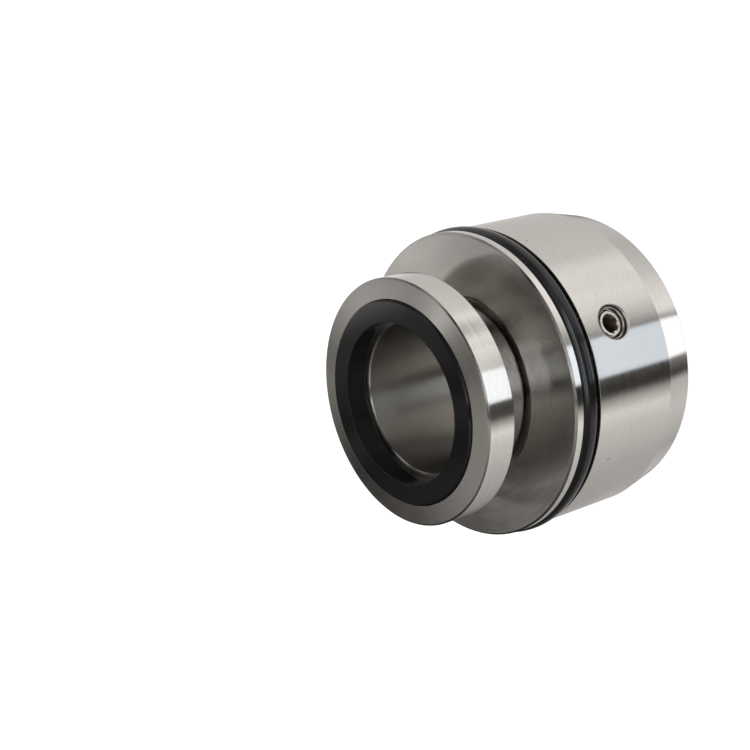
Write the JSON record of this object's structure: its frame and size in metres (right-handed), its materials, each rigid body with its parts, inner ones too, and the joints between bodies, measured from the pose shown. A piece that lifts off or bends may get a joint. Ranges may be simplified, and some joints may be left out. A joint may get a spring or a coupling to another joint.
{
  "type": "cartridge mechanical seal",
  "caption": "Mechanical seal head for a rotating shaft: turned steel housing with an outer O-ring, and a sprung front ring that carries a black silicon carbide face.",
  "frame": {"origin": "centre of the housing's rear face, on which the unit stands", "axes": "+Z along the shaft axis, from the rear face to the seal face; -Y towards the first set screw"},
  "size_m": [0.0732, 0.0732, 0.0588],
  "materials": {
    "housing_steel": "turned stainless steel with fine lathe lines",
    "holder_steel": "turned stainless steel, satin face",
    "inner_steel": "turned stainless steel",
    "bright_steel": "ground stainless steel",
    "clip_steel": "stamped spring steel",
    "spring_steel": "drawn stainless wire",
    "screw_steel": "bright stainless steel, rolled thread",
    "silicon_carbide": "lapped black silicon carbide",
    "black_rubber": "smooth black rubber, slightly oily"
  },
  "bodies": {
    "housing_unit": {"housing": "housing_steel", "housing_o_ring": "black_rubber", "neck_o_ring": "black_rubber", "spring_retainer": "inner_steel", "retaining_ring": "clip_steel", "spring_1": "spring_steel", "spring_2": "spring_steel", "spring_3": "spring_steel", "spring_4": "spring_steel", "spring_5": "spring_steel", "spring_6": "spring_steel", "spring_7": "spring_steel", "spring_8": "spring_steel", "spring_9": "spring_steel"},
    "face_unit": {"face_holder": "holder_steel", "face_ring": "silicon_carbide", "face_o_ring": "black_rubber", "face_pins": "bright_steel", "thrust_ring": "inner_steel", "thrust_clip": "clip_steel"},
    "screw_1": {"set_screw_1": "screw_steel"},
    "screw_2": {"set_screw_2": "screw_steel"},
    "screw_3": {"set_screw_3": "screw_steel"}
  },
  "joints": [
    {"name": "face_slide", "type": "slide", "parent": "housing_unit", "child": "face_unit", "axis": [0, 0, -1], "range_m": [0, 0.004], "stiffness_N_per_m": 16000, "springref_m": -0.004, "deforming": ["spring_1", "spring_2", "spring_3", "spring_4", "spring_5", "spring_6", "spring_7", "spring_8", "spring_9"]},
    {"name": "screw_1_travel", "type": "slide", "parent": "housing_unit", "child": "screw_1", "axis": [0, -1, 0], "range_m": [0, 0.005]},
    {"name": "screw_2_travel", "type": "slide", "parent": "housing_unit", "child": "screw_2", "axis": [0.866, 0.5, 0], "range_m": [0, 0.005]},
    {"name": "screw_3_travel", "type": "slide", "parent": "housing_unit", "child": "screw_3", "axis": [-0.866, 0.5, 0], "range_m": [0, 0.005]}
  ]
}
